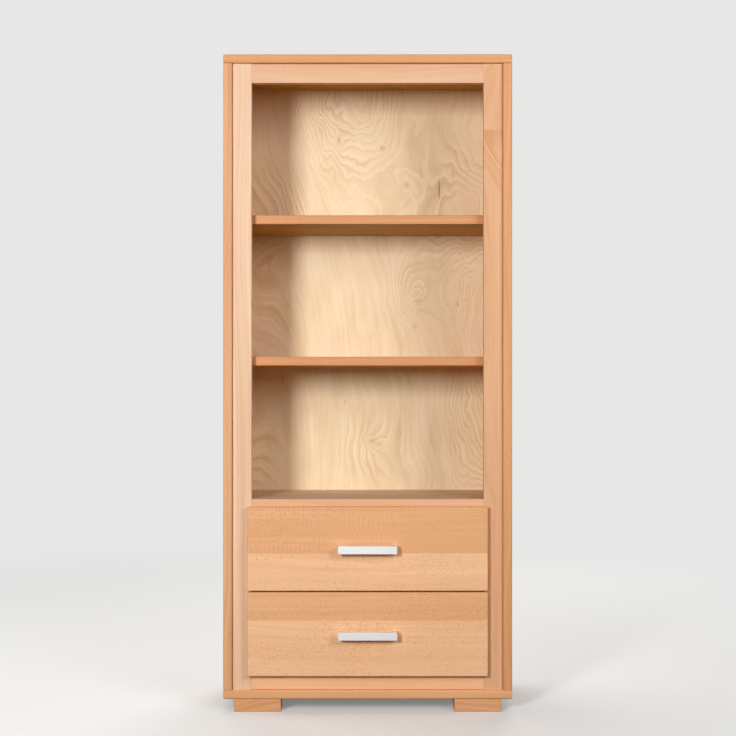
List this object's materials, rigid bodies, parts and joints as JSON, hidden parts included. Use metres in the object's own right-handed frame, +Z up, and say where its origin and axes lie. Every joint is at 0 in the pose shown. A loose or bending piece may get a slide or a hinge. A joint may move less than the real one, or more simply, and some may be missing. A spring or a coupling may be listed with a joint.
{
  "type": "bookcase with bottom drawers",
  "caption": "Tall free-standing solid wood bookcase: open bays with loose shelves above drawers on steel runners, a face frame, flat bow handles, a plywood back and block feet.",
  "frame": {"origin": "centre of the footprint of the whole piece, handles included, on the floor", "axes": "+Z up, +X to the right as seen from the front, the front faces -Y"},
  "size_m": [0.8, 0.39, 1.82],
  "materials": {
    "beech": "oiled solid beech, fine ray flecks, edge-glued staves",
    "birch_ply": "birch plywood with a flame figure, clear finish",
    "satin_aluminium": "satin anodised",
    "zinc_plate": "bright zinc plated",
    "acetal": "white acetal"
  },
  "bodies": {
    "case": {"top_panel": "beech", "base_panel": "beech", "side_panel_left": "beech", "side_panel_right": "beech", "back_panel": "birch_ply", "stile_left": "beech", "stile_right": "beech", "top_rail": "beech", "mid_rail": "beech", "bottom_rail": "beech", "niche_floor": "beech", "shelf_upper": "beech", "shelf_lower": "beech", "upper_shelf_pins": "zinc_plate", "lower_shelf_pins": "zinc_plate", "foot_front_left": "beech", "foot_front_right": "beech", "foot_rear_left": "beech", "foot_rear_right": "beech", "foot_screws": "zinc_plate", "case_tenons": "beech", "upper_packer_left": "beech", "upper_packer_right": "beech", "upper_case_rail_left": "zinc_plate", "upper_case_rail_right": "zinc_plate", "upper_case_glide_left": "acetal", "upper_case_glide_right": "acetal", "lower_packer_left": "beech", "lower_packer_right": "beech", "lower_case_rail_left": "zinc_plate", "lower_case_rail_right": "zinc_plate", "lower_case_glide_left": "acetal", "lower_case_glide_right": "acetal"},
    "upper_drawer": {"upper_drawer_front": "beech", "upper_box_front": "beech", "upper_box_side_left": "beech", "upper_box_side_right": "beech", "upper_box_back": "beech", "upper_box_bottom": "birch_ply", "upper_handle": "satin_aluminium", "upper_handle_screws": "zinc_plate", "upper_drawer_rail_left": "zinc_plate", "upper_drawer_rail_right": "zinc_plate", "upper_drawer_glide_left": "acetal", "upper_drawer_glide_right": "acetal"},
    "lower_drawer": {"lower_drawer_front": "beech", "lower_box_front": "beech", "lower_box_side_left": "beech", "lower_box_side_right": "beech", "lower_box_back": "beech", "lower_box_bottom": "birch_ply", "lower_handle": "satin_aluminium", "lower_handle_screws": "zinc_plate", "lower_drawer_rail_left": "zinc_plate", "lower_drawer_rail_right": "zinc_plate", "lower_drawer_glide_left": "acetal", "lower_drawer_glide_right": "acetal"}
  },
  "joints": [
    {"name": "upper_drawer_slide", "type": "slide", "parent": "case", "child": "upper_drawer", "axis": [0, -1, 0], "range_m": [0, 0.22]},
    {"name": "lower_drawer_slide", "type": "slide", "parent": "case", "child": "lower_drawer", "axis": [0, -1, 0], "range_m": [0, 0.22]}
  ]
}
